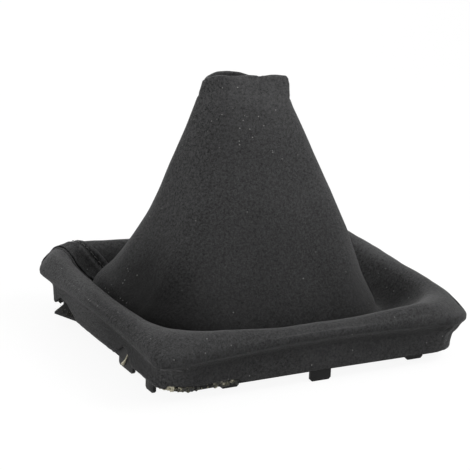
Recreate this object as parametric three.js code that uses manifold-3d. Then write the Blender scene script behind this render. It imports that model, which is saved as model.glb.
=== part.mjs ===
// Gear lever gaiter: a suede cover stretched over a moulded clip frame.
// Millimetres, +Z up. +X runs along the long front side, -Y faces the front.
// The origin is under the middle of the rim, level with the tips of the frame's tabs.

import * as THREE from 'three';
import { mergeVertices } from 'three/addons/utils/BufferGeometryUtils.js';
import { ConvexGeometry } from 'three/addons/geometries/ConvexGeometry.js';
import Module from 'manifold-3d';

// Rim as covered, measured over the fabric
const rimLength = 165;
const rimWidth = 152;
const rimCorner = 19;

// Suede and the room it keeps from the frame
const suede = 1.4;
const clearance = 0.3;

// Clip frame: an arched ring with a wall, an outward flange and tabs
const wallHeight = 15.5;
const wallThickness = 1.8;
const wallCorner = 13.3;
const flangeReach = 6.2;
const flangeThickness = 1.6;
const frameArch = 4.05;
const bottomArch = 0.5;

// Tabs, stub, hook and corner notch on the frame's lower edge
const tabDrop = 4.5;
const tabRoot = 3;
const tabTaper = 1;
const frontTab = { at: 1.8, width: 10.5, drop: tabDrop };
const frontShortTab = { at: 51.2, width: 9, drop: 1.4 };
const frontStub = { at: -44, width: 9, drop: 1.1 };
const leftTab = { at: -24.5, width: 15, drop: 3.4 };
const leftPeg = { at: -50, width: 8, drop: tabDrop };
const backTabs = [-48, 0.5, 49];
const rightTabs = [-49, -25, 25, 49];
const plainTabWidth = 9;
const hookFrom = 32;
const hookTo = 47;
const hookReach = 5.6;
const hookHeight = 5.2;
const notchFrom = 49.5;
const notchTo = 54.5;
const notchHeight = 4.6;
const reliefHeight = 2.6;

// Puffed roll of the cover, with its puff over the flange at the corners and at the middle of a side
const hemGap = 1;
const cornerPuff = 12.4;
const sidePuff = 3.85;
const ridgeInset = 5.7;
const ridgeCorner = 27.3;
const bareStripFrom = -80;
const bareStripTo = -40;
const bareStripHeight = 2.6;

// Valley between the ridge and the cone
const valleyInset = 19.5;
const valleyHeight = 10;
const valleyCorner = 32;
const valleyShift = [-4.5, 2.4];

// Cone: its foot is a soft rectangle and its neck a flattened oval
const footInset = 23;
const footHeight = 16.5;
const footCorner = 30;
const footShift = [-6.6, 3.5];
const waistShift = [-2.5, 1.3];
const neckLong = 37.4;
const neckShort = 14.4;
const neckTurn = -27.7;
const neckShift = [-4.7, 2.5];
const neckHeight = 120.6;
const hemHeight = 9;
const hemThickness = 2.6;
const lipRound = 0.7;
const neckPinch = 4;
const neckSpread = 2.4;
const neckFullness = 3.4;
const coneFlare = 0.85;

// Fineness of the loops
const sideSteps = 4;
const cornerSteps = 8;
const coneSteps = 9;

const wasm = await Module();
wasm.setup();

// A loop is a rounded rectangle, set in from the rim's edge. Its lift raises the middle of each side.
// As its neckShare goes from 0 to 1 it closes to the neck's turned oval, whose far end is pinched.
function loop(inset, corner, z, lift, more = {}) {
  return {
    long: rimLength / 2 - inset,
    short: rimWidth / 2 - inset,
    corner,
    z,
    lift,
    shift: [0, 0],
    neckShare: 0,
    ovalLong: neckLong / 2,
    ovalShort: neckShort / 2,
    pinch: 0,
    skin: suede,
    ...more,
  };
}

function blend(from, to, share) {
  return from + (to - from) * share;
}

// Places where a quarter of a rounded rectangle of half sizes a and b passes, one for each step
function quarterPoint(a, b, r, step) {
  if (step <= sideSteps) {
    return [a, (b - r) * (step / sideSteps)];
  }
  if (step <= sideSteps + cornerSteps) {
    const angle = ((step - sideSteps) / cornerSteps) * (Math.PI / 2);
    return [a - r + r * Math.cos(angle), b - r + r * Math.sin(angle)];
  }
  return [(a - r) * (1 - (step - sideSteps - cornerSteps) / sideSteps), b];
}

// Place on the neck's oval that faces the same way as a place on the loop's rectangle
function ovalPoint(station, x, y) {
  const turn = THREE.MathUtils.degToRad(neckTurn);
  const angle = Math.atan2(y, x) - turn;
  const along = station.ovalLong * Math.cos(angle);
  const farEnd = THREE.MathUtils.smoothstep(Math.cos(angle), -0.2, 0.8);
  const across = (station.ovalShort - station.pinch * farEnd) * Math.sin(angle);
  return [
    along * Math.cos(turn) - across * Math.sin(turn),
    along * Math.sin(turn) + across * Math.cos(turn),
  ];
}

function loopPoints(station) {
  const quarter = 2 * sideSteps + cornerSteps;
  const points = [];
  for (let index = 0; index < 4 * quarter; index += 1) {
    const side = Math.floor(index / quarter);
    const step = side % 2 === 0 ? index % quarter : quarter - (index % quarter);
    const [quarterX, quarterY] = quarterPoint(station.long, station.short, station.corner, step);
    const x = side === 0 || side === 3 ? quarterX : -quarterX;
    const y = side < 2 ? quarterY : -quarterY;
    const [ovalX, ovalY] = ovalPoint(station, x, y);
    const sideShare = Math.min(quarterX / station.long, quarterY / station.short);
    points.push(new THREE.Vector3(
      station.shift[0] + blend(x, ovalX, station.neckShare),
      station.shift[1] + blend(y, ovalY, station.neckShare),
      tabDrop + station.z + station.lift * (1 - sideShare * sideShare),
    ));
  }
  return points;
}

// Closed skin through a closed row of loops
function ringGeometry(stations) {
  const rows = stations.map(loopPoints);
  const count = rows[0].length;
  const geometry = new THREE.BufferGeometry();
  const positions = rows.flat().flatMap((point) => [point.x, point.y, point.z]);
  const faces = [];
  for (let row = 0; row < rows.length; row += 1) {
    const next = (row + 1) % rows.length;
    for (let index = 0; index < count; index += 1) {
      const after = (index + 1) % count;
      const a = row * count + index;
      const b = row * count + after;
      const c = next * count + after;
      const d = next * count + index;
      faces.push(a, b, c, a, c, d);
    }
  }
  geometry.setAttribute('position', new THREE.Float32BufferAttribute(positions, 3));
  geometry.setIndex(faces);
  return geometry;
}

function reach(station) {
  return blend(station.long, station.ovalLong, station.neckShare);
}

// The hidden side of a sheet: each loop moved square to the visible side by the sheet's thickness
function hiddenSide(stations) {
  return stations.map((station, index) => {
    const before = stations[Math.max(index - 1, 0)];
    const after = stations[Math.min(index + 1, stations.length - 1)];
    const runIn = reach(after) - reach(before);
    const runUp = after.z + after.lift / 2 - before.z - before.lift / 2;
    const length = Math.hypot(runIn, runUp);
    const sideways = (runUp / length) * station.skin;
    const upward = (-runIn / length) * station.skin;
    return {
      ...station,
      long: station.long - sideways,
      short: station.short - sideways,
      corner: station.corner - sideways,
      ovalLong: station.ovalLong - sideways,
      ovalShort: station.ovalShort - sideways,
      z: station.z - upward,
    };
  });
}

function solidOf(geometry) {
  const plain = geometry.clone();
  plain.deleteAttribute('normal');
  plain.deleteAttribute('uv');
  const merged = mergeVertices(plain, 1e-4);
  return new wasm.Manifold(new wasm.Mesh({
    numProp: 3,
    vertProperties: new Float32Array(merged.attributes.position.array),
    triVerts: new Uint32Array(merged.index.array),
  }));
}

function geometryOf(solid) {
  const mesh = solid.getMesh();
  const geometry = new THREE.BufferGeometry();
  geometry.setAttribute('position', new THREE.Float32BufferAttribute(mesh.vertProperties, 3));
  geometry.setIndex(new THREE.Uint32BufferAttribute(mesh.triVerts, 1));
  geometry.computeVertexNormals();
  return geometry;
}

// Box given by its low and high corners, with heights counted from the wall's lower edge
function block(low, high) {
  const size = high.map((value, axis) => value - low[axis]);
  const geometry = new THREE.BoxGeometry(...size);
  geometry.translate(
    (low[0] + high[0]) / 2,
    (low[1] + high[1]) / 2,
    tabDrop + (low[2] + high[2]) / 2,
  );
  return geometry;
}

// Clip frame
const edgeInset = suede + clearance;
const wallInset = edgeInset + flangeReach;
const innerInset = wallInset + wallThickness;
const flangeTop = wallHeight + flangeThickness;
const flangeCorner = rimCorner - edgeInset;
const innerCorner = wallCorner - wallThickness;
const edgeBreak = 0.7;

function frameRing() {
  return ringGeometry([
    loop(wallInset, wallCorner, 0, bottomArch),
    loop(wallInset, wallCorner, wallHeight, frameArch),
    loop(edgeInset, flangeCorner, wallHeight, frameArch),
    loop(edgeInset, flangeCorner, flangeTop - edgeBreak, frameArch),
    loop(edgeInset + edgeBreak, flangeCorner, flangeTop, frameArch),
    loop(innerInset - edgeBreak, innerCorner + edgeBreak, flangeTop, frameArch),
    loop(innerInset, innerCorner, flangeTop - edgeBreak, frameArch),
    loop(innerInset, innerCorner, 0, bottomArch),
  ]);
}

// Tab with tapered sides, lying in the wall's thickness; side is the compass turn of its wall
function tab({ at, width, drop }, half, turn) {
  const skinBack = 0.15;
  const outline = new THREE.Shape([
    new THREE.Vector2(-width / 2, tabRoot),
    new THREE.Vector2(-width / 2, -drop + tabTaper),
    new THREE.Vector2(-width / 2 + tabTaper, -drop),
    new THREE.Vector2(width / 2 - tabTaper, -drop),
    new THREE.Vector2(width / 2, -drop + tabTaper),
    new THREE.Vector2(width / 2, tabRoot),
  ]);
  const depth = wallThickness - 2 * skinBack;
  const geometry = new THREE.ExtrudeGeometry(outline, { depth, bevelEnabled: false });
  geometry.rotateX(Math.PI / 2);
  geometry.translate(0, -half + wallInset + wallThickness - skinBack, tabDrop);
  geometry.rotateZ(turn);
  const slide = new THREE.Vector3(at, 0, 0);
  if (turn !== 0) {
    slide.set(Math.abs(Math.cos(turn)) > 0.5 ? at : 0, Math.abs(Math.sin(turn)) > 0.5 ? at : 0, 0);
  }
  geometry.translate(slide.x, slide.y, 0);
  return geometry;
}

// Barbed hook on the left wall: widest at its back end, with a sloping top
function hook() {
  const wallFace = -rimLength / 2 + wallInset;
  const root = wallFace + wallThickness / 2;
  const points = [
    [root, hookTo, 0.3],
    [root, hookTo, hookHeight],
    [wallFace, hookTo, hookHeight],
    [wallFace - hookReach, hookTo, 0.3],
    [wallFace - hookReach, hookTo, 1.3],
    [root, hookFrom, 0.3],
    [root, hookFrom, hookHeight / 3],
    [wallFace, hookFrom, hookHeight / 3],
    [wallFace, hookFrom, 0.3],
  ];
  return new ConvexGeometry(points.map(([x, y, z]) => new THREE.Vector3(x, y, tabDrop + z)));
}

// The left back corner is cut short, with a deeper notch between it and the hook
function cornerNotch() {
  return block(
    [-rimLength / 2, notchFrom, -1],
    [-rimLength / 2 + innerInset + 1, notchTo, notchHeight],
  );
}

function cornerRelief() {
  return block(
    [-rimLength / 2, notchTo - 0.5, -1],
    [-rimLength / 2 + innerInset + 1, rimWidth / 2, reliefHeight],
  );
}

function clipFrame() {
  const halfWidth = rimWidth / 2;
  const halfLength = rimLength / 2;
  const quarterTurn = Math.PI / 2;
  let solid = solidOf(frameRing());
  for (const one of [frontTab, frontShortTab, frontStub]) {
    solid = solid.add(solidOf(tab(one, halfWidth, 0)));
  }
  for (const at of backTabs) {
    solid = solid.add(solidOf(tab({ at, width: plainTabWidth, drop: tabDrop }, halfWidth, 2 * quarterTurn)));
  }
  for (const one of [leftTab, leftPeg]) {
    solid = solid.add(solidOf(tab(one, halfLength, -quarterTurn)));
  }
  for (const at of rightTabs) {
    solid = solid.add(solidOf(tab({ at, width: plainTabWidth, drop: tabDrop }, halfLength, quarterTurn)));
  }
  solid = solid.add(solidOf(hook()));
  return solid.subtract(solidOf(cornerNotch())).subtract(solidOf(cornerRelief()));
}

// Cover: visible side from the hem on the wall, over the ridge, down the valley and up the cone
const coverWall = wallInset - edgeInset;
const crease = wallHeight - edgeInset;
const ridgeHeight = flangeTop + cornerPuff;
const ridgeDip = cornerPuff - sidePuff - frameArch;

function roll() {
  const wallLoop = wallCorner + edgeInset;
  const half = blend(crease, ridgeHeight, 0.56);
  return [
    loop(coverWall, wallLoop, hemGap, bottomArch),
    loop(coverWall - 0.1, wallLoop, crease * 0.42, frameArch * 0.4),
    loop(coverWall - 0.5, wallLoop, crease - 4.2, frameArch * 0.9),
    loop(coverWall * 0.55, blend(rimCorner, wallLoop, 0.5), crease - 1.7, frameArch),
    loop(coverWall * 0.2, rimCorner, crease - 0.1, frameArch),
    loop(0.05, rimCorner, crease + 1.1, frameArch),
    loop(0, rimCorner + 0.2, flangeTop + 0.8, frameArch * 0.9),
    loop(1.3, blend(rimCorner, ridgeCorner, 0.33), half, 0.2),
    loop(ridgeInset * 0.62, blend(rimCorner, ridgeCorner, 0.76), blend(crease, ridgeHeight, 0.88), -ridgeDip * 0.7),
    loop(ridgeInset, ridgeCorner, ridgeHeight, -ridgeDip),
  ];
}

function valley() {
  const drop = ridgeHeight - valleyHeight;
  const slide = (share) => ({ shift: valleyShift.map((value) => value * share) });
  return [
    loop(ridgeInset + 2.7, ridgeCorner + 1.2, ridgeHeight - 0.4, -ridgeDip),
    loop(innerInset + 1.3, ridgeCorner + 2.2, ridgeHeight - drop * 0.13, -ridgeDip * 0.97, slide(0.07)),
    loop(innerInset + 3.1, ridgeCorner + 2.8, ridgeHeight - drop * 0.36, -ridgeDip * 0.8, slide(0.25)),
    loop(innerInset + 5.3, valleyCorner - 1, ridgeHeight - drop * 0.72, -ridgeDip * 0.55, slide(0.65)),
    loop(valleyInset - 2, valleyCorner, valleyHeight + 1.4, -ridgeDip * 0.4, slide(0.9)),
    loop(valleyInset, valleyCorner, valleyHeight, -ridgeDip * 0.3, slide(1)),
    loop(blend(valleyInset, footInset, 0.6), valleyCorner, valleyHeight + 1.3, -ridgeDip * 0.15, slide(1.2)),
  ];
}

// One loop of the cone; rise is 0 at the foot and 1 under the neck's hem
function coneLoop(rise) {
  const low = Math.max(0, 1 - 2 * rise);
  const high = Math.max(0, 2 * rise - 1);
  const shift = waistShift.map((value, axis) => (
    value + (footShift[axis] - value) * low ** 2 + (neckShift[axis] - value) * high
  ));
  return loop(footInset, footCorner, blend(footHeight, neckHeight - hemHeight, rise), 0, {
    shift,
    neckShare: rise ** coneFlare,
    ovalLong: neckLong / 2 + neckSpread,
    ovalShort: neckShort / 2 + neckFullness,
    pinch: neckPinch * 0.3,
  });
}

// Folded hem at the neck: the sheet doubles back inside itself
function hemLoop(grow, drop, pinchShare) {
  return loop(footInset, footCorner, neckHeight - drop, 0, {
    shift: neckShift,
    neckShare: 1,
    ovalLong: neckLong / 2 + grow,
    ovalShort: neckShort / 2 + grow,
    pinch: neckPinch * pinchShare,
    skin: hemThickness,
  });
}

function coverSheet() {
  const cone = Array.from({ length: coneSteps + 1 }, (_, index) => coneLoop(index / coneSteps));
  const hem = [
    hemLoop(1.5, hemHeight * 0.7, 0.6),
    hemLoop(0.6, hemHeight * 0.35, 0.85),
    hemLoop(0, lipRound, 1),
  ];
  const visible = [...roll(), ...valley(), ...cone, ...hem];
  const hidden = hiddenSide(visible);
  const outerLip = hemLoop(-lipRound, 0, 1);
  const innerLip = hemLoop(lipRound - hemThickness, 0, 1);
  return ringGeometry([...visible, outerLip, innerLip, ...hidden.reverse()]);
}

// Cuts in the hem: round the hook and the corner notch, over the left tab, and the bare strip in front
function hemCut(outline) {
  const geometry = new THREE.ExtrudeGeometry(
    new THREE.Shape(outline.map(([y, z]) => new THREE.Vector2(y, z))),
    { depth: flangeReach + wallThickness, bevelEnabled: false },
  );
  geometry.rotateX(Math.PI / 2);
  geometry.rotateZ(Math.PI / 2);
  geometry.translate(-rimLength / 2, 0, tabDrop);
  return geometry;
}

function suedeCover() {
  const room = 0.8;
  const hookCut = [
    [hookFrom - room, -1],
    [notchTo + room, -1],
    [notchTo + room, notchHeight - 1],
    [notchFrom, hookHeight + room + 1],
    [hookTo - 4, hookHeight + room + 1.4],
    [hookFrom - room, hookHeight / 3 + room],
  ];
  const tabFrom = leftTab.at - leftTab.width / 2 - 2;
  const tabTo = leftTab.at + leftTab.width / 2 + room;
  const tabCut = [
    [tabFrom, -1],
    [tabTo, -1],
    [tabTo, 2],
    [leftTab.at, 7.5],
    [leftTab.at - 4, 7.2],
    [tabFrom, 2.4],
  ];
  const strip = block(
    [bareStripFrom, -rimWidth / 2, -1],
    [bareStripTo, -rimWidth / 2 + wallInset + 1, bareStripHeight],
  );
  return solidOf(coverSheet())
    .subtract(solidOf(hemCut(hookCut)))
    .subtract(solidOf(hemCut(tabCut)))
    .subtract(solidOf(cornerRelief()))
    .subtract(solidOf(strip));
}

const mouldedBlack = new THREE.MeshStandardMaterial({ color: 0x1b1b1c, roughness: 0.62, metalness: 0 });
const charcoalSuede = new THREE.MeshStandardMaterial({ color: 0x38383a, roughness: 0.95, metalness: 0 });

const clipFrameMesh = new THREE.Mesh(geometryOf(clipFrame()), mouldedBlack);
clipFrameMesh.name = 'clip_frame';

const suedeCoverMesh = new THREE.Mesh(geometryOf(suedeCover()), charcoalSuede);
suedeCoverMesh.name = 'suede_cover';

const gaiter = new THREE.Group();
gaiter.add(clipFrameMesh, suedeCoverMesh);

export default gaiter;
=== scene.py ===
import math
import random

import bmesh
import bpy
import numpy as np
from mathutils import Matrix, Vector, noise


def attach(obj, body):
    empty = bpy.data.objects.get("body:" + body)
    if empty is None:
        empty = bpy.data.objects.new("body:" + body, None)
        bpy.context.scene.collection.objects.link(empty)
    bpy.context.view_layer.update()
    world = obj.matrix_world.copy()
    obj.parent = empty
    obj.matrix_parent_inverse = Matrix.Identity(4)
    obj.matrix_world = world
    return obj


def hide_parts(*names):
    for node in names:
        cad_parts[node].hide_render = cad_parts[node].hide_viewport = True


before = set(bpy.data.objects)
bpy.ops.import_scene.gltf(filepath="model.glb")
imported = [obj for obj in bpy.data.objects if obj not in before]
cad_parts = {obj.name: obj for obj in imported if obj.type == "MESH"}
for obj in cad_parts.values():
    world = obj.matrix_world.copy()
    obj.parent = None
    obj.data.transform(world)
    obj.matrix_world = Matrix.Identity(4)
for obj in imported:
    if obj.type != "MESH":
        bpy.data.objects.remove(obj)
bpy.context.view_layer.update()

# Camera
# It stands where the photograph was taken, low and to the left of the front side, with a long lens.
# Its turn, height, distance and tilt come from the rim's curves.
CAMERA_TURN = math.radians(-27.69)
CAMERA_HEIGHT = math.radians(16.96)
CAMERA_DISTANCE = 0.876
CAMERA_TILT = math.radians(-1.94)
LOOK_SIDEWAYS = -0.00737
LOOK_UP = 0.00399
LOOK_HEIGHT = 0.0445
SENSOR_WIDTH = 36
FOCAL_LENGTH = SENSOR_WIDTH * 1854.2 / 470

back = Vector((
    math.sin(CAMERA_TURN) * math.cos(CAMERA_HEIGHT),
    -math.cos(CAMERA_TURN) * math.cos(CAMERA_HEIGHT),
    math.sin(CAMERA_HEIGHT),
))
right = Vector((math.cos(CAMERA_TURN), math.sin(CAMERA_TURN), 0))
up = back.cross(right)
looked_at = Vector((0, 0, LOOK_HEIGHT)) + right * LOOK_SIDEWAYS + up * LOOK_UP
tilted_right = right * math.cos(CAMERA_TILT) - up * math.sin(CAMERA_TILT)
tilted_up = right * math.sin(CAMERA_TILT) + up * math.cos(CAMERA_TILT)

camera = bpy.data.objects.new("camera", bpy.data.cameras.new("camera"))
bpy.context.scene.collection.objects.link(camera)
axes = Matrix((tilted_right, tilted_up, back)).transposed().to_4x4()
camera.matrix_world = Matrix.Translation(looked_at + back * CAMERA_DISTANCE) @ axes
camera.data.sensor_width = SENSOR_WIDTH
camera.data.lens = FOCAL_LENGTH
bpy.context.scene.camera = camera
bpy.context.scene.view_settings.view_transform = "Standard"


# Light and floor
# Soft studio light from all round, mostly from above and from the right, and a plain pale floor.
# The sky and the floor are white to the camera, and the floor keeps the shadow.
class Wire:
    """A shader value. Ordinary arithmetic on it adds Math nodes."""

    def __init__(self, paint, socket):
        self.paint = paint
        self.socket = socket

    def __add__(self, other):
        return self.paint.maths("ADD", self, other)

    def __sub__(self, other):
        return self.paint.maths("SUBTRACT", self, other)

    def __rsub__(self, other):
        return self.paint.maths("SUBTRACT", other, self)

    def __mul__(self, other):
        return self.paint.maths("MULTIPLY", self, other)

    __radd__ = __add__
    __rmul__ = __mul__

    def either(self, other):
        return self.paint.maths("MAXIMUM", self, other)

    def rise(self, low, high):
        """0 at low and 1 at high, with a soft step between them; high may be the lower of the two."""
        ends = {"Value": self, "From Min": low, "From Max": high}
        return self.paint.node("MapRange", ends, interpolation_type="SMOOTHSTEP")


class Paint:
    """The nodes of one material or world. A node's settings are set first, then its sockets."""

    def __init__(self, owner):
        owner.use_nodes = True
        self.tree = owner.node_tree
        self.tree.nodes.clear()

    def node(self, kind, sockets=None, output=0, **settings):
        made = self.tree.nodes.new("ShaderNode" + kind)
        for key, value in settings.items():
            setattr(made, key, value)
        for key, value in (sockets or {}).items():
            if isinstance(value, Wire):
                self.tree.links.new(value.socket, made.inputs[key])
            else:
                made.inputs[key].default_value = value
        return Wire(self, made.outputs[output]) if made.outputs else None

    def maths(self, operation, one, other):
        return self.node("Math", {0: one, 1: other}, operation=operation)

    def mix(self, share, one, other):
        return self.node("Mix", {0: share, 6: one, 7: other}, output=2, data_type="RGBA")

    def grain(self, place, per_metre, detail=3.0, roughness=0.5):
        sockets = {"Vector": place, "Scale": per_metre, "Detail": detail, "Roughness": roughness}
        return self.node("TexNoise", sockets)


def seen_directly(paint):
    """1 for what the camera, a mirror or glass sees, 0 for light that falls on the object"""
    direct = paint.node("LightPath", output="Is Camera Ray")
    mirrored = paint.node("LightPath", output="Is Glossy Ray")
    through = paint.node("LightPath", output="Is Transmission Ray")
    return direct.either(mirrored).either(through)


def lamp(name, place, watts, size):
    light = bpy.data.lights.new(name, "AREA")
    light.energy = watts
    light.size = size
    holder = bpy.data.objects.new(name, light)
    holder.location = place
    holder.rotation_euler = Vector(place).to_track_quat("Z", "Y").to_euler()
    bpy.context.scene.collection.objects.link(holder)


MM = 0.001
WHITE = (1, 1, 1, 1)
SKY_LIGHT = 0.2
FLOOR_WHITENESS = 0.82
FLOOR_GLOW = 1.12
FLOOR_LIT = (0.7, 0.7, 0.7, 1)
FLOOR_SIDE = 8
FLOOR_DROP = 0.2 * MM

world = bpy.data.worlds.new("studio_sky")
bpy.context.scene.world = world
sky = Paint(world)
sky_light = sky.node("Background", {"Color": WHITE, "Strength": SKY_LIGHT})
sky_seen = sky.node("Background", {"Color": WHITE, "Strength": 1})
sky_mixed = sky.node("MixShader", {0: seen_directly(sky), 1: sky_light, 2: sky_seen})
sky.node("OutputWorld", {"Surface": sky_mixed})

lamp("lamp_above", (0.0, 0.1, 1.5), 6.5, 2.0)
lamp("lamp_right", (0.4, -0.3, 0.5), 2.5, 0.4)
lamp("lamp_left", (-1.2, -0.4, 0.25), 5.3, 0.7)
lamp("lamp_back", (0.3, 1.2, 0.5), 3.0, 0.7)

bpy.ops.object.select_all(action="DESELECT")
bpy.ops.mesh.primitive_plane_add(size=FLOOR_SIDE, location=(0, 0, -FLOOR_DROP))
floor = bpy.context.object
floor.name = "studio_floor"
bpy.ops.object.transform_apply()
floor_material = bpy.data.materials.new("pale_floor")
floor_paint = Paint(floor_material)
floor_lit = floor_paint.node("BsdfDiffuse", {"Color": FLOOR_LIT})
floor_white = floor_paint.node("Emission", {"Color": WHITE, "Strength": FLOOR_GLOW})
floor_share = seen_directly(floor_paint) * FLOOR_WHITENESS
floor_mixed = floor_paint.node("MixShader", {0: floor_share, 1: floor_lit, 2: floor_white})
floor_paint.node("OutputMaterial", {"Surface": floor_mixed})
floor.data.materials.append(floor_material)


# Moulded clip frame
# One injection moulding of black plastic: an arched ring with a flange, tabs, a stub and a barbed hook.
# Its shape is the CAD node's, and the mould's soft edges are added to a copy of it.
def finish_surface(paint, colour, roughness, height, depth, **constants):
    """Colour, roughness and height may vary over the piece. The other sockets take plain numbers."""
    bump = paint.node("Bump", {"Height": height, "Strength": 1.0, "Distance": depth})
    sockets = {"Base Color": colour, "Roughness": roughness, "Normal": bump}
    sockets.update({key.replace("_", " "): value for key, value in constants.items()})
    paint.node("OutputMaterial", {"Surface": paint.node("BsdfPrincipled", sockets)})


def piece_of(name, data, material):
    piece = bpy.data.objects.new(name, data)
    bpy.context.scene.collection.objects.link(piece)
    data.materials.append(material)
    bpy.ops.object.select_all(action="DESELECT")
    piece.select_set(True)
    bpy.context.view_layer.objects.active = piece
    return piece


FRAME_EDGE_RADIUS = 0.3 * MM
FRAME_WELD = 0.001 * MM
FRAME_FLAT_WITHIN = math.radians(1.2)
FRAME_EDGES_OVER = math.radians(28)
FRAME_SMOOTH_UNDER = math.radians(32)
FRAME_BLACK = (0.0065, 0.0065, 0.0067, 1)
FRAME_SCUFF = (0.045, 0.045, 0.0435, 1)
TAB_DROP = 4.5
SCUFFS_FROM = (TAB_DROP + 3) * MM
SCUFFS_TO = (TAB_DROP - 3) * MM
SCUFFED_LOW = 0.6
SCUFFED_ALL_OVER = 0.08
MOULD_TEXTURE = 2600
MOULD_PATCHES = 90
MOULD_STREAKS = (260, 260, 1500)
MOULD_DEPTH = 0.06 * MM

plastic_material = bpy.data.materials.new("moulded_black_plastic")
plastic = Paint(plastic_material)
plastic_place = plastic.node("TexCoord", output="Object")
stretched = plastic.node("Mapping", {"Vector": plastic_place, "Scale": MOULD_STREAKS})
plastic_grain = plastic.grain(plastic_place, MOULD_TEXTURE, 2)
plastic_patches = plastic.grain(plastic_place, MOULD_PATCHES, 4)
plastic_streaks = plastic.grain(stretched, 1, 3)
plastic_height = plastic.node("SeparateXYZ", {0: plastic_place}, output="Z")
low_edge = plastic_height.rise(SCUFFS_FROM, SCUFFS_TO)
scuffs = (plastic_streaks + plastic_patches * 0.6).rise(0.84, 1.02)
scuffs = scuffs * (low_edge * SCUFFED_LOW + SCUFFED_ALL_OVER)
finish_surface(
    plastic, plastic.mix(scuffs, FRAME_BLACK, FRAME_SCUFF), plastic_patches * 0.25 + 0.5,
    plastic_grain + plastic_streaks * 0.5, MOULD_DEPTH, Specular_IOR_Level=0.2,
)

frame_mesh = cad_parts["clip_frame"].data.copy()
frame_mesh.materials.clear()
moulded_frame = piece_of("moulded_frame", frame_mesh, plastic_material)
welded = bmesh.new()
welded.from_mesh(frame_mesh)
bmesh.ops.remove_doubles(welded, verts=welded.verts, dist=FRAME_WELD)
bmesh.ops.dissolve_limit(
    welded, angle_limit=FRAME_FLAT_WITHIN, verts=welded.verts, edges=welded.edges,
)
welded.to_mesh(frame_mesh)
welded.free()
mould_radius = moulded_frame.modifiers.new("mould_radius", "BEVEL")
mould_radius.width = FRAME_EDGE_RADIUS
mould_radius.segments = 2
mould_radius.limit_method = "ANGLE"
mould_radius.angle_limit = FRAME_EDGES_OVER
mould_radius.use_clamp_overlap = True
bpy.ops.object.modifier_apply(modifier="mould_radius")
bpy.ops.object.shade_smooth_by_angle(angle=FRAME_SMOOTH_UNDER)
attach(moulded_frame, "root")
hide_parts("clip_frame")


# Suede cover
# A fan-shaped cut of synthetic suede, closed by one seam, puffed over the frame's flange and glued
# round its wall. It is stretched into a flattened cone, and the neck is folded inwards as a hem.
RIM_LENGTH = 165.0
RIM_WIDTH = 152.0
RIM_CORNER = 19.0
CLOTH = 1.2
WALL_INSET = 6.2
WALL_CORNER = 15.0
HEM_GAP = 1.0
CREASE = 13.8
FLANGE_TOP = 17.1
ARCH = 4.05
RIDGE_HEIGHT = 29.5
RIDGE_DIP = 4.5
RIDGE_INSET = 5.7
RIDGE_CORNER = 27.3
INNER_INSET = 9.7
VALLEY_INSET = 19.5
VALLEY_HEIGHT = 10.0
VALLEY_CORNER = 32.0
VALLEY_SHIFT = (-4.5, 2.4)
FOOT_INSET = 23.0
FOOT_HEIGHT = 16.5
FOOT_CORNER = 30.0
FOOT_SHIFT = (-6.6, 3.5)
WAIST_SHIFT = (-2.5, 1.3)
NECK_SHIFT = (-4.7, 2.5)
NECK_OVAL = (18.7, 7.2)
NECK_TURN = math.radians(-27.7)
NECK_HEIGHT = 120.6
NECK_PINCH = 4.3
MOUTH_CLOSES = (-0.5, 0.25)
HEM_HEIGHT = 9.0
HEM_FOLD = 1.3
CONE_FLARE = 0.85
CONE_BANDS = 10
CONE_SWELL = (2.4, 3.4)
CONE_PINCH = 1.2
HEIGHT_COLUMN = 5
SIDE_STEPS = 26
CORNER_STEPS = 20
ROW_STEP = 1.7
NECK_ROW_STEP = 0.9


def between(start, end, share):
    return start + (end - start) * share


def smooth_step(value, low, high):
    share = np.clip((value - low) / (high - low), 0, 1)
    return share * share * (3 - 2 * share)


def bell(value, middle, reach):
    """1 at the middle, falling softly on both sides, to about a third at the reach"""
    return np.exp(-(((value - middle) / reach) ** 2))


def near(points, place, reach):
    return bell(np.linalg.norm(points - np.array(place), axis=2), 0, reach)


def read_off(table, value):
    """The second number of the table's pairs, where the first one is the value"""
    return np.interp(value, *np.transpose(table))


def band(inset, corner, height, lift, shift=(0, 0), neck=0, grow=(0, 0), pinch=0, left=None):
    """One loop round the cover: a rounded rectangle that closes to the neck's oval as neck goes to 1.
    left holds the radii of its back left and front left corners where they differ from the others."""
    return [
        RIM_LENGTH / 2 - inset, RIM_WIDTH / 2 - inset, corner, *(left or (corner, corner)),
        height, lift, *shift, neck, NECK_OVAL[0] + grow[0], NECK_OVAL[1] + grow[1], pinch,
    ]


# From the hem up the wall, out round the flange and up to the ridge
roll_top = between(CREASE, RIDGE_HEIGHT, 0.88)
roll_bands = [
    band(WALL_INSET, WALL_CORNER, HEM_GAP, 0.5, left=(15, 14)),
    band(WALL_INSET - 0.1, WALL_CORNER, CREASE * 0.42, ARCH * 0.4, left=(15, 14)),
    band(WALL_INSET - 0.5, WALL_CORNER, CREASE - 4.2, ARCH * 0.9, left=(15, 13)),
    band(WALL_INSET * 0.55, 17, CREASE - 1.7, ARCH, left=(17, 11)),
    band(WALL_INSET * 0.2, RIM_CORNER, CREASE - 0.1, ARCH, left=(19, 9)),
    band(0.05, RIM_CORNER, CREASE + 1.1, ARCH, left=(19, 8)),
    band(0, RIM_CORNER + 0.2, FLANGE_TOP + 0.8, ARCH * 0.9, left=(19, 9.5)),
    band(1.3, 22, between(CREASE, RIDGE_HEIGHT, 0.56), 0.2, left=(20, 15)),
    band(RIDGE_INSET * 0.62, 25, roll_top, -RIDGE_DIP * 0.7, left=(19, 22)),
    band(RIDGE_INSET, RIDGE_CORNER, RIDGE_HEIGHT, -RIDGE_DIP, left=(18, 27)),
]

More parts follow.
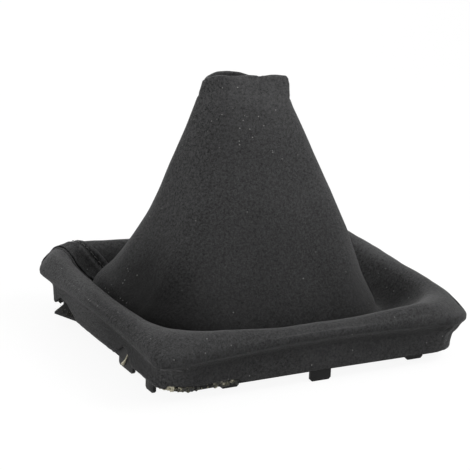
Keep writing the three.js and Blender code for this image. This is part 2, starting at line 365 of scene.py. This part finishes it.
# Inner slope of the roll: inset, corner, back left corner, share of the drop, of the dip, of the shift
slope_steps = [
    (RIDGE_INSET + 2.7, RIDGE_CORNER + 1.2, 18, 0.02, 1, 0),
    (INNER_INSET + 1.3, RIDGE_CORNER + 2.2, 20, 0.13, 0.97, 0.07),
    (INNER_INSET + 3.1, RIDGE_CORNER + 2.8, 22, 0.36, 0.8, 0.25),
    (INNER_INSET + 5.3, VALLEY_CORNER - 1, 27, 0.72, 0.55, 0.65),
    (VALLEY_INSET - 2, VALLEY_CORNER, 31, 0.93, 0.4, 0.9),
    (VALLEY_INSET, VALLEY_CORNER, 32, 1, 0.3, 1),
    (between(VALLEY_INSET, FOOT_INSET, 0.6), VALLEY_CORNER, 32, 0.933, 0.15, 1.2),
]
slope_bands = [
    band(
        inset, corner, between(RIDGE_HEIGHT, VALLEY_HEIGHT, drop), -RIDGE_DIP * dip,
        (VALLEY_SHIFT[0] * slide, VALLEY_SHIFT[1] * slide), left=(back_left, corner),
    )
    for inset, corner, back_left, drop, dip, slide in slope_steps
]

# Cone: its middle follows a bent line from the foot over the waist to the neck
cone_bands = []
for rise in np.linspace(0, 1, CONE_BANDS):
    low = max(0, 1 - 2 * rise) ** 2
    high = max(0, 2 * rise - 1)
    shift = [
        waist + (foot - waist) * low + (top - waist) * high
        for waist, foot, top in zip(WAIST_SHIFT, FOOT_SHIFT, NECK_SHIFT)
    ]
    height = between(FOOT_HEIGHT, NECK_HEIGHT - HEM_HEIGHT, rise)
    cone_bands.append(
        band(FOOT_INSET, FOOT_CORNER, height, 0, shift, rise**CONE_FLARE, CONE_SWELL, CONE_PINCH)
    )


def neck_band(grow, drop, pinch_share):
    pinch = NECK_PINCH * pinch_share
    return band(FOOT_INSET, FOOT_CORNER, NECK_HEIGHT - drop, 0, NECK_SHIFT, 1, (grow, grow), pinch)


# Neck: up to the fold, round it, and down the turned-in hem
fold_turns = np.radians([0, 36, 72, 108, 144, 180])
neck_bands = [
    neck_band(1.5, HEM_HEIGHT * 0.7, 0.6),
    neck_band(0.6, HEM_HEIGHT * 0.35, 0.85),
    *[neck_band(-HEM_FOLD * (1 - math.cos(a)), HEM_FOLD * (1 - math.sin(a)), 1) for a in fold_turns],
    neck_band(-2 * HEM_FOLD + 0.1, HEM_HEIGHT * 0.45, 0.95),
    neck_band(-2 * HEM_FOLD + 0.5, HEM_HEIGHT * 0.9, 0.7),
]


def round_loop(bands, side_steps, corner_steps):
    """Points of every band, in millimetres: rows by columns by 3"""
    quarter = 2 * side_steps + corner_steps
    index = np.arange(4 * quarter)
    side = index // quarter
    step = np.where(side % 2 == 0, index % quarter, quarter - index % quarter)
    columns = [bands[:, k:k + 1] for k in range(bands.shape[1])]
    a, b, r, back_left, front_left, z, lift, shift_x, shift_y, neck, oval_a, oval_b, pinch = columns
    r = np.where(side == 1, back_left, np.where(side == 2, front_left, r))
    bend = np.clip((step - side_steps) / corner_steps, 0, 1) * math.pi / 2
    last = np.clip((step - side_steps - corner_steps) / side_steps, 0, 1)
    x = np.where(step <= side_steps + corner_steps, a - r + r * np.cos(bend), (a - r) * (1 - last))
    y = np.where(step <= side_steps, (b - r) * step / side_steps, b - r + r * np.sin(bend))
    side_share = np.minimum(x / a, y / b)
    x = x * np.where((side == 0) | (side == 3), 1, -1)
    y = y * np.where(side < 2, 1, -1)
    facing = np.arctan2(y, x) - NECK_TURN
    along = oval_a * np.cos(facing)
    across = (oval_b - pinch * smooth_step(np.cos(facing), *MOUTH_CLOSES)) * np.sin(facing)
    oval_x = along * math.cos(NECK_TURN) - across * math.sin(NECK_TURN)
    oval_y = along * math.sin(NECK_TURN) + across * math.cos(NECK_TURN)
    height = TAB_DROP + z + lift * (1 - side_share**2)
    return np.stack([
        shift_x + between(x, oval_x, neck), shift_y + between(y, oval_y, neck), height,
    ], axis=2)


def smooth_rows(bands, steps):
    """Rows between the bands on one smooth line through them, each gap in steps of its own size"""
    gaps = np.linalg.norm(np.diff(round_loop(bands, 4, 6), axis=0), axis=2).mean(axis=1)
    slopes = np.gradient(bands, np.concatenate([[0], np.cumsum(gaps)]), axis=0)
    rows = []
    for k, gap in enumerate(gaps):
        count = max(1, math.ceil(gap / steps[k]))
        for s in np.arange(count) / count:
            rows.append(
                (2 * s**3 - 3 * s**2 + 1) * bands[k]
                + (s**3 - 2 * s**2 + s) * gap * slopes[k]
                + (3 * s**2 - 2 * s**3) * bands[k + 1]
                + (s**3 - s**2) * gap * slopes[k + 1]
            )
    rows.append(bands[-1])
    return np.array(rows)


def outward(points):
    """Unit normals of a grid of points that closes on itself from column to column"""
    around = np.roll(points, -1, axis=1) - np.roll(points, 1, axis=1)
    normals = np.cross(around, np.gradient(points, axis=0))
    return normals / np.linalg.norm(normals, axis=2, keepdims=True)


def soft_noise(points, size, seed):
    flat = points.reshape(-1, 3) / size + seed
    return np.array([noise.noise(Vector(p)) for p in flat]).reshape(points.shape[:2])


def grid_mesh(name, points, closed):
    """Quads over rows by columns of points in millimetres"""
    rows, columns = points.shape[:2]
    index = np.arange(rows * columns).reshape(rows, columns)
    if closed:
        index = np.concatenate([index, index[:, :1]], axis=1)
    quads = np.stack([index[:-1, :-1], index[:-1, 1:], index[1:, 1:], index[1:, :-1]], axis=2)
    mesh = bpy.data.meshes.new(name)
    mesh.from_pydata((points.reshape(-1, 3) * MM).tolist(), [], quads.reshape(-1, 4).tolist())
    mesh.update()
    return mesh


def point_values(mesh, name, values):
    stored = mesh.attributes.new(name, "FLOAT", "POINT")
    stored.data.foreach_set("value", np.asarray(values, dtype=np.float32).ravel())


def solid_cloth(piece, thickness):
    skin = piece.modifiers.new("cloth_thickness", "SOLIDIFY")
    skin.thickness = thickness * MM
    skin.offset = -1
    bpy.ops.object.modifier_apply(modifier="cloth_thickness")
    bpy.ops.object.shade_smooth()


lower_bands = roll_bands + slope_bands + cone_bands
steps = [ROW_STEP] * (len(lower_bands) - 2) + [NECK_ROW_STEP] * (len(neck_bands) + 1)
cover_bands = smooth_rows(np.array(lower_bands + neck_bands), steps)
cover_points = round_loop(cover_bands, SIDE_STEPS, CORNER_STEPS)
row_count, column_count = cover_points.shape[:2]
row_gaps = np.linalg.norm(np.diff(cover_points, axis=0), axis=2).mean(axis=1)
profile = np.concatenate([[0], np.cumsum(row_gaps)])
row_height = cover_bands[:, HEIGHT_COLUMN]
column_run = np.arange(column_count)

# Trimmed lower edge: it stands higher round the hook, the notch and the left tab, and in front.
# Place along the left or the front side, then how much higher the edge stands there
LEFT_TRIM = [
    (-34.5, 0), (-33, 1.8), (-28.5, 6.4), (-24.5, 6.6), (-17, 1.4), (-16, 0), (31, 0), (32, 1.8),
    (43, 6.2), (49.5, 6), (54.8, 2.8), (56, 1.7), (80, 1.7),
]
FRONT_TRIM = [(-90, 1.9), (-40.6, 1.9), (-39.4, 0), (90, 0)]
TRIM_TOP = TAB_DROP + 9.5
TRIM_WAVES, TRIM_TEETH = 0.4, 0.16
hem_line = cover_points[0].copy()
on_left = hem_line[:, 0] < -RIM_LENGTH / 2 + WALL_INSET + 5
on_front = hem_line[:, 1] < -RIM_WIDTH / 2 + WALL_INSET + 5
left_rise = read_off(LEFT_TRIM, hem_line[:, 1]) * on_left
front_rise = read_off(FRONT_TRIM, hem_line[:, 0]) * on_front
waves, teeth = soft_noise(hem_line[None], 6, 0)[0], soft_noise(hem_line[None], 1.6, 0)[0]
hem_rise = np.maximum(left_rise, front_rise) + TRIM_WAVES * waves + TRIM_TEETH * teeth
wall_share = np.clip((TRIM_TOP - cover_points[:, :, 2]) / (TRIM_TOP - hem_line[:, 2]), 0, 1)
cover_points[:, :, 2] += wall_share * hem_rise * (profile < 20)[:, None]

# Ridge: it sinks towards the front right corner, whose shoulder is flat and whose wall leans out, and a
# little in front and at the two left corners. The cone's foot bulges a little at the back left one
RIGHT_SWELL = 1.0
RIGHT_SINK = 4.6
FRONT_SINK = 1.4
BACK_LEFT_SINK = 1.4
FRONT_LEFT_SINK = 2.3
SHOULDER_FLAT = 2.1
WALL_LEAN = 1.6
FOOT_BULGE = 1.5
on_ridge = (smooth_step(profile, 20, 31) * smooth_step(profile, 62, 48))[:, None]
along_length, along_side = cover_points[:, :, 0], cover_points[:, :, 1]
right_side = smooth_step(along_length, 48, 74)
in_front = smooth_step(-along_side, 42, 62) * smooth_step(along_length, -58, -15) * (1 - right_side)
right_lift = RIGHT_SWELL * bell(along_side, 26, 24) - RIGHT_SINK * bell(along_side, -60, 27)
back_left_share = bell(np.hypot(along_length + 75, along_side - 67), 0, 14)
front_left_share = bell(np.hypot(along_length + 67, along_side + 58), 0, 15)
left_sink = BACK_LEFT_SINK * back_left_share + FRONT_LEFT_SINK * front_left_share
cover_points[:, :, 2] += on_ridge * (right_side * right_lift - FRONT_SINK * in_front - left_sink)
shoulder = SHOULDER_FLAT * bell(profile, 24, 4)[:, None] * bell(column_run, 259, 4.5)
lean = WALL_LEAN * bell(profile, 12, 5)[:, None] * right_side * smooth_step(along_side, -30, -60)
foot_bulge = FOOT_BULGE * bell(profile, 64, 8)[:, None] * bell(column_run, 117, 8)
cover_points += outward(cover_points) * (lean - shoulder + foot_bulge)[:, :, None]

# Neck: its far end stands straighter, its corners are rounded and its lips meet over the right half
FAR_END_OUT = 1.6
FAR_END_DROOP = 1.7
NEAR_END_DROOP = 2.4
MIDDLE_DROOP, FRONT_LIP_LESS = 1.3, 1.05
HEM_LIFT = 1.1
LIP_WAVE = 0.35
GROOVE_DEPTH = 0.35
LIP_CREASE_DEPTH = 0.5
turn = np.array([math.cos(NECK_TURN), math.sin(NECK_TURN)])
from_neck = cover_points[:, :, :2] - np.array(NECK_SHIFT)
neck_along = from_neck @ turn / NECK_OVAL[0]
neck_front = from_neck @ np.array([-turn[1], turn[0]]) < 0
hem_share = np.maximum.accumulate(smooth_step(row_height, NECK_HEIGHT - 11, NECK_HEIGHT))[:, None]
lip_share = np.maximum.accumulate(smooth_step(row_height, NECK_HEIGHT - 4, NECK_HEIGHT - 1))[:, None]
cover_points[:, :, :2] += (FAR_END_OUT * hem_share * smooth_step(neck_along, 0.5, 1))[:, :, None] * turn
droop = FAR_END_DROOP * smooth_step(neck_along, 0.9, 1.06)
droop += NEAR_END_DROOP * smooth_step(-neck_along, 0.6, 1.05)
droop += (MIDDLE_DROOP - FRONT_LIP_LESS * neck_front) * bell(neck_along, 0.3, 0.3)
cover_points[:, :, 2] += hem_share * HEM_LIFT - lip_share * droop
cover_points[:, :, 2] += lip_share * LIP_WAVE * soft_noise(cover_points, 5, 2.7)
hem_groove = GROOVE_DEPTH * bell(row_height, NECK_HEIGHT - 9.6, 0.7)[:, None]
lip_crease = LIP_CREASE_DEPTH * bell(neck_along, 0.36, 0.045) * neck_front
lip_crease = lip_crease * smooth_step(row_height, NECK_HEIGHT - 17, NECK_HEIGHT - 3)[:, None]

# Softness: broad swells, small dimples, and puckers where the cloth turns the corners under the roll.
# Size of the swells or dimples, seed, then their depth on the roll and on the cone
SWELLS = [(26, 3.1, 0.5, 0.6), (9, 8.4, 0.2, 0.12)]
PUCKER_DEPTH = 0.32
PUCKER_COLUMNS = 4.3
on_roll = smooth_step(profile, 12, 22) * smooth_step(profile, 95, 55)
on_cone = smooth_step(profile, 65, 90) * smooth_step(row_height, NECK_HEIGHT - 7, NECK_HEIGHT - 14)
under_roll = smooth_step(profile, 20, 13) * smooth_step(profile, 1, 5)
rim_share = np.abs(hem_line[:, 0]) / (RIM_LENGTH / 2) + np.abs(hem_line[:, 1]) / (RIM_WIDTH / 2)
corner_share = smooth_step(rim_share, 1.6, 1.72)
pucker_run = column_run * 2 * math.pi / PUCKER_COLUMNS + np.sin(column_run * 0.9)
puckers = PUCKER_DEPTH * under_roll[:, None] * np.sin(pucker_run) * corner_share
swell = puckers - hem_groove - lip_crease
for size, seed, roll_depth, cone_depth in SWELLS:
    depth = (roll_depth * on_roll + cone_depth * on_cone)[:, None]
    swell = swell + soft_noise(cover_points, size, seed) * depth
unslit_points = cover_points + outward(cover_points) * swell[:, :, None]
unslit_outward = outward(unslit_points)

# Slit beside the seam, at the back left corner: distance up the cover, then the seam's left column
SEAM_LEFT = [
    (3, 108.5), (20, 108.5), (37, 108), (39, 108.3), (43, 110), (49.3, 108.6), (54, 106.6),
    (58.4, 105.8), (66, 105), (82, 103), (110, 101), (140, 99), (182, 97),
]
SLIT_DEPTH = 1.6
SLIT_REACH = math.sqrt(0.7)
# A painted shade darkens the nap down in the slit
SLIT_PAINTED_SHADE = 0.5
slit = bell(column_run, read_off(SEAM_LEFT, profile)[:, None] + 0.3, SLIT_REACH)
slit = slit * (smooth_step(profile, 30, 36) * smooth_step(profile, 82, 70))[:, None]
cover_points = unslit_points - unslit_outward * (SLIT_DEPTH * slit)[:, :, None]

# Painted light and shade in the nap's colour: darkest in the crease under the roll and down in the moat,
# palest on the ridge and high up the cone, and lighter or darker round listed places.
# Distance up the cover, then painted tone; and places in millimetres, each with a reach and a factor on
# the painted tone
PAINTED_TONES_UP_COVER = [
    (0, 0.9), (9, 0.95), (12, 0.55), (15, 0.25), (17.5, 0.35), (20, 0.8), (24, 1.0), (36, 1.15),
    (41, 1.15), (48, 0.95), (56, 0.62), (72, 0.5), (86, 0.7), (104, 0.88), (128, 1.02), (150, 1.12),
    (165, 1.2), (180, 1.36), (188, 1.46), (200, 0.6),
]
PAINTED_TONE_PLACES = [
    (-52, -42, 14, 20, 0.45), (-57, 6, 31, 22, 0.4), (-61, -14, 25, 26, 0.12), (62, 6, 26, 26, 1.35),
    (-78, 10, 26, 40, 1.75), (-64, 60, 28, 14, 1.6), (-72, -66, 12, 7, 1.4),
    (-14, -24, 64, 34, 0.84), (-14, -9, 100, 18, 0.86), (44, -72, 26, 34, 0.92), (60, -30, 18, 16, 0.6),
]
# The left side faces this way; its crease gets a painted highlight, and its nap stands rougher
LEFT_SIDE_WAY = (-0.885, 0.465, 0)
LEFT_CREASE_PAINTED_HIGHLIGHT = 1.1
LEFT_ROUGHER = 0.6

SUEDE_FULL = (0.1, 0.1, 0.1015, 1)
BLACK = (0, 0, 0, 1)
NAP_STRENGTH = 0.53
NAP_DEPTH = 0.28 * MM
NAP_FIBRES, NAP_MOTTLE, NAP_PATCHES = 1900, 850, 45
LINT = (0.4, 0.4, 0.385, 1)
LINT_CELLS = 480
LINT_PLACES = [(-62, 14, 28, 13), (62, -14, 20, 9), (-78, 0, 28, 14), (-14, -7, 109, 12)]

suede_material = bpy.data.materials.new("charcoal_suede")
suede = Paint(suede_material)
suede_place = suede.node("TexCoord", output="Object")
fibres = suede.grain(suede_place, NAP_FIBRES, 3, 0.65)
mottle = suede.grain(suede_place, NAP_MOTTLE, 3, 0.6)
patches = suede.grain(suede_place, NAP_PATCHES, 3)
# This attribute carries the painted light and shade of the cover and the seam flap into the base colour
painted_shading = suede.node("Attribute", output="Fac", attribute_name="painted_shading")
nap_rough = suede.node("Attribute", output="Fac", attribute_name="nap_rough")
lint_amount = suede.node("Attribute", output="Fac", attribute_name="lint_amount")
lint_cells = {"Vector": suede_place, "Scale": LINT_CELLS}
lint_distance = suede.node("TexVoronoi", lint_cells, output="Distance")
lint_pick = suede.node("SeparateColor", {0: suede.node("TexVoronoi", lint_cells, output="Color")})
lint = lint_distance.rise(0.19, 0.07) * (lint_pick + lint_amount * 0.5).rise(0.96, 0.97)
suede_grain = (fibres - 0.5) * 1.8 + (mottle - 0.5) * 1.7 + (patches - 0.5) * 0.45
grain_and_painted_shading = (suede_grain * nap_rough + 1.0) * painted_shading * NAP_STRENGTH
suede_colour = suede.mix(lint * 0.75, suede.mix(grain_and_painted_shading, BLACK, SUEDE_FULL), LINT)
finish_surface(
    suede, suede_colour, 0.95 - mottle * 0.06, fibres + mottle * 0.6 + lint * 0.8, NAP_DEPTH,
    Sheen_Weight=0.22, Sheen_Roughness=0.35, Specular_IOR_Level=0.12,
)

cover_mesh = grid_mesh("suede_gaiter", cover_points, closed=True)
# Painted light and shade: the tone along the cover, darkened down in the slit and changed round the
# listed places
painted_tones = read_off(PAINTED_TONES_UP_COVER, profile)[:, None] * (1 - SLIT_PAINTED_SHADE * slit)
for *place, reach, factor in PAINTED_TONE_PLACES:
    painted_tones = painted_tones * between(1, factor, near(cover_points, place, reach))
left_facing = smooth_step(unslit_outward @ np.array(LEFT_SIDE_WAY), 0, 0.7)
# Painted highlight along the crease of the left-facing side
painted_tones = painted_tones * (1 + LEFT_CREASE_PAINTED_HIGHLIGHT * left_facing * bell(profile, 16, 3)[:, None])
lint_near = np.max([near(cover_points, place, reach) for *place, reach in LINT_PLACES], axis=0)
point_values(cover_mesh, "painted_shading", painted_tones)
point_values(cover_mesh, "lint_amount", lint_near)
point_values(cover_mesh, "nap_rough", 1 + LEFT_ROUGHER * left_facing)
suede_gaiter = piece_of("suede_gaiter", cover_mesh, suede_material)
solid_cloth(suede_gaiter, CLOTH)
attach(suede_gaiter, "root")
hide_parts("suede_cover")


# Lapped seam
# The two ends of the cut overlap at the back left corner, from the wall over the roll and up the cone.
# The upper end's left edge is raw and lifts a little, and its right edge is folded under and topstitched.
FLAP_CLOTH = 0.5
FLAP_STEP = 1.0
FLAP_FROM, FLAP_TO = 4, 181
FLAP_THINNER = 0.6
FLAP_PALE = 1.05
FLAP_ROUGH = 1.3
FLAP_SPECKLE = 0.7
RAW_EDGE_JAGS = 0.4
RAW_EDGE_CURL = 0.5
SEAM_RIGHT = [
    (3, 98), (37, 97.2), (43, 98), (49.3, 97.5), (58.4, 98), (70, 96), (82, 93), (110, 87), (140, 79),
    (182, 64),
]
# Share across from the left edge, -1, to the right, 1; height over the cover; share of the painted tone,
# with painted shade down in the slit under the raw edge and painted highlights on the raised folds
FLAP_SECTION = np.array([
    (-1.4, -0.2, 1.0), (-1.25, 0.1, 1.0), (-1.1, 0.2, 0.9), (-1.06, 0.1, 0.3), (-1.05, -0.8, 0.02),
    (-1.02, -0.8, 0.02), (-1.0, 0.4, 0.5), (-0.97, 0.6, 1.0), (-0.85, 0.5, 0.9), (-0.6, 0.4, 0.75),
    (-0.3, 0.4, 0.75), (0, 0.4, 0.75), (0.15, 0.65, 1.2), (0.25, 0.75, 1.7), (0.38, 0.5, 0.8),
    (0.55, 0.2, 0.4), (0.72, 0.45, 0.8), (0.84, 0.8, 1.7), (0.94, 0.65, 1.6), (1.0, -0.1, 0.9),
])


def seam_columns(along, across):
    """Columns at distances up the cover and at shares from the seam's left edge, -1, to its right, 1"""
    jags = RAW_EDGE_JAGS * np.vectorize(lambda t: noise.noise(Vector((t * 0.6, 5, 0))))(along)
    left_edge = read_off(SEAM_LEFT, along) + jags
    return between(left_edge, read_off(SEAM_RIGHT, along), (across + 1) / 2)


def on_cover(along, column):
    """Points and outward directions at distances up the cover and at columns round it"""
    row = np.clip(np.interp(along, profile, np.arange(row_count)), 0, row_count - 1.001)
    low_row, low_column = np.floor(row).astype(int), np.floor(column).astype(int)
    up_share, round_share = (row - low_row)[..., None], (column - low_column)[..., None]
    found = []
    for grid in (unslit_points, unslit_outward):
        lower = between(grid[low_row, low_column], grid[low_row, low_column + 1], round_share)
        upper = between(grid[low_row + 1, low_column], grid[low_row + 1, low_column + 1], round_share)
        found.append(between(lower, upper, up_share))
    return found


flap_across, flap_height, flap_painted_share = FLAP_SECTION.T
flap_run = np.arange(FLAP_FROM, FLAP_TO, FLAP_STEP)[:, None] + 0 * flap_across
flap_base, flap_up = on_cover(flap_run, seam_columns(flap_run, flap_across))
flap_wobble = np.array([noise.noise(Vector((t * 0.3, 2.0, 0.5))) for t in flap_run[:, 0]])
raw_edge = bell(flap_across, -0.97, 0.1) * (flap_height > 0.4)
flap_heights = flap_height + RAW_EDGE_CURL * flap_wobble[:, None] * raw_edge
flap_heights = flap_heights * between(1, FLAP_THINNER, smooth_step(flap_run, 68, 84))
flap_points = (flap_base + flap_up * flap_heights[:, :, None])[:, ::-1]
flap_mesh = grid_mesh("seam_flap", flap_points, closed=False)
# Painted light and shade on the flap: the cover's painted tone, kept no darker than FLAP_PALE, times the
# section's share, with speckle
flap_painted_tones = np.maximum(read_off(PAINTED_TONES_UP_COVER, flap_run), FLAP_PALE) * flap_painted_share
flap_painted_tones *= 1 + FLAP_SPECKLE * soft_noise(flap_base, 1.7, 4.2)
point_values(flap_mesh, "painted_shading", flap_painted_tones[:, ::-1])
point_values(flap_mesh, "lint_amount", 0 * flap_painted_tones)
point_values(flap_mesh, "nap_rough", FLAP_ROUGH + 0 * flap_painted_tones)
seam_flap = piece_of("seam_flap", flap_mesh, suede_material)
solid_cloth(seam_flap, FLAP_CLOTH)
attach(seam_flap, "root")


# Seam thread
# One row of short topstitches in grey thread along the folded edge of the seam.
# Each stitch is a short arc that dips into the cloth at both ends.
STITCH_LENGTH = 1.8
STITCH_STEP = 2.7
STITCH_ACROSS = 0.55
STITCH_POINTS = 6
STITCH_LOW, STITCH_HIGH = 0.25, 0.75
THREAD = 0.45
THREAD_DEPTH = 0.1 * MM
THREAD_TWIST = 3200
THREAD_DARK = (0.035, 0.035, 0.035, 1)
THREAD_GREY = (0.2, 0.2, 0.195, 1)

thread_material = bpy.data.materials.new("grey_thread")
thread_paint = Paint(thread_material)
thread_place = thread_paint.node("TexCoord", output="Object")
thread_twist = thread_paint.grain(thread_place, THREAD_TWIST, 2)
thread_colour = thread_paint.mix(thread_twist.rise(0.3, 0.7), THREAD_DARK, THREAD_GREY)
finish_surface(
    thread_paint, thread_colour, thread_twist * 0.2 + 0.6, thread_twist, THREAD_DEPTH, IOR=1.45,
)

thread_curve = bpy.data.curves.new("seam_thread", "CURVE")
thread_curve.dimensions = "3D"
thread_curve.bevel_depth = THREAD / 2 * MM
thread_curve.bevel_resolution = 2
thread_curve.use_fill_caps = True
for start in np.arange(FLAP_FROM + 3, FLAP_TO - 3, STITCH_STEP):
    share = np.linspace(0, 1, STITCH_POINTS)
    run = start + STITCH_LENGTH * share
    base, direction = on_cover(run, seam_columns(run, STITCH_ACROSS))
    arc = between(STITCH_LOW, STITCH_HIGH, np.sin(share * math.pi))
    spline = thread_curve.splines.new("POLY")
    spline.points.add(len(share) - 1)
    for point, place in zip(spline.points, (base + direction * arc[:, None]) * MM):
        point.co = (*place, 1)
seam_thread = piece_of("seam_thread", thread_curve, thread_material)
bpy.ops.object.convert(target="MESH")
bpy.ops.object.shade_smooth()
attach(seam_thread, "root")


# Dried glue
# Glue squeezed out under the trimmed hem: pale crumbs on the bare strip and the stub in front, a few on
# the hook, and a strand down the left tab. It is brittle, cream to olive, and dirty.
GLUE_CREAM = (0.62, 0.58, 0.44, 1)
GLUE_OLIVE = (0.075, 0.072, 0.04, 1)
GLUE_DIRT = (0.012, 0.012, 0.011, 1)
GLUE_PATCHES, GLUE_FINE = 420, 1700
GLUE_DEPTH = 0.15 * MM
GLUE_VOXEL = 0.22
EDGE_CRUMBS, STUB_CRUMBS, HOOK_CRUMBS = 120, 44, 26
EDGE_INSET = 1.75
HOOK_ROOT, HOOK_TIP = Vector((-75, 33, 7)), Vector((-76.5, 46.5, 9.2))
TAB_FACE = -74.6
TAB_GLUE_RIGHT, TAB_GLUE_BACK = -70 * MM, -15 * MM
# The strand's way down the left tab: place along the left side, height, size
STRAND = [
    (-29.3, 10.6, 0.3), (-28.4, 9.2, 0.35), (-27.0, 7.4, 0.4), (-25.6, 5.9, 0.45), (-24.3, 4.6, 0.65),
    (-22.9, 3.2, 0.95), (-21.6, 2.5, 0.75),
]
STRAND_LEAN = 0.08

glue_material = bpy.data.materials.new("dried_glue")
glue_paint = Paint(glue_material)
glue_place = glue_paint.node("TexCoord", output="Object")
glue_patches = glue_paint.grain(glue_place, GLUE_PATCHES, 3, 0.6)
glue_fine = glue_paint.grain(glue_place, GLUE_FINE, 3, 0.6)
glue_clean = glue_paint.node("Attribute", output="Fac", attribute_name="glue_clean")
glue_pale = (glue_patches + glue_clean * 0.3).rise(0.54, 0.68)
glue_dirty = (glue_fine + glue_patches * 0.6 + glue_clean * 0.4).rise(0.92, 0.76)
glue_colour = glue_paint.mix(glue_pale, GLUE_OLIVE, GLUE_CREAM)
glue_colour = glue_paint.mix(glue_dirty, glue_colour, GLUE_DIRT)
finish_surface(glue_paint, glue_colour, glue_fine * 0.3 + 0.4, glue_fine, GLUE_DEPTH, IOR=1.47)

dice = random.Random(7)
crumbs = []
wall_line = hem_line - outward(cover_points)[1] * EDGE_INSET
glued_edge = wall_line[(wall_line[:, 0] > -76) & (wall_line[:, 0] < -40) & (wall_line[:, 1] < -57)]
for _ in range(EDGE_CRUMBS):
    x, y = glued_edge[dice.randrange(len(glued_edge))][:2]
    x += dice.uniform(-0.6, 0.6)
    crumbs.append((x, y, TAB_DROP + dice.uniform(0.2, 2.4), dice.uniform(0.35, 0.8)))
for _ in range(STUB_CRUMBS):
    x = dice.uniform(-51.5, -40)
    crumbs.append((x, -68.0, TAB_DROP + dice.uniform(0.3, 2.6), dice.uniform(0.4, 0.95)))
for _ in range(HOOK_CRUMBS):
    share = dice.random()
    edge = between(HOOK_ROOT, HOOK_TIP, share)
    edge += Vector((-dice.random() * 4.5 * share, 0, -dice.random() * 3.0 * share))
    crumbs.append((*edge, dice.uniform(0.2, 0.45)))
for (y, z, size), (next_y, next_z, next_size) in zip(STRAND, STRAND[1:]):
    for share in np.arange(0, 1, 0.2):
        crumbs.append((
            TAB_FACE - STRAND_LEAN * z, between(y, next_y, share) + dice.uniform(-0.2, 0.2),
            between(z, next_z, share), between(size, next_size, share),
        ))

lumps = bmesh.new()
for x, y, z, size in crumbs:
    squash = Matrix.Diagonal((size * dice.uniform(0.8, 1.3), size * dice.uniform(0.5, 0.9), size, 1))
    place = Matrix.Translation(Vector((x, y, z)) * MM) @ Matrix.Scale(MM, 4) @ squash
    bmesh.ops.create_icosphere(lumps, subdivisions=2, radius=1, matrix=place)
glue_mesh = bpy.data.meshes.new("dried_glue")
lumps.to_mesh(glue_mesh)
lumps.free()
dried_glue = piece_of("dried_glue", glue_mesh, glue_material)
run_together = dried_glue.modifiers.new("run_together", "REMESH")
run_together.mode = "VOXEL"
run_together.voxel_size = GLUE_VOXEL * MM
bpy.ops.object.modifier_apply(modifier="run_together")
bpy.ops.object.shade_smooth()
on_tab = [
    vert.co.x < TAB_GLUE_RIGHT and vert.co.y < TAB_GLUE_BACK for vert in dried_glue.data.vertices
]
point_values(dried_glue.data, "glue_clean", on_tab)
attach(dried_glue, "root")
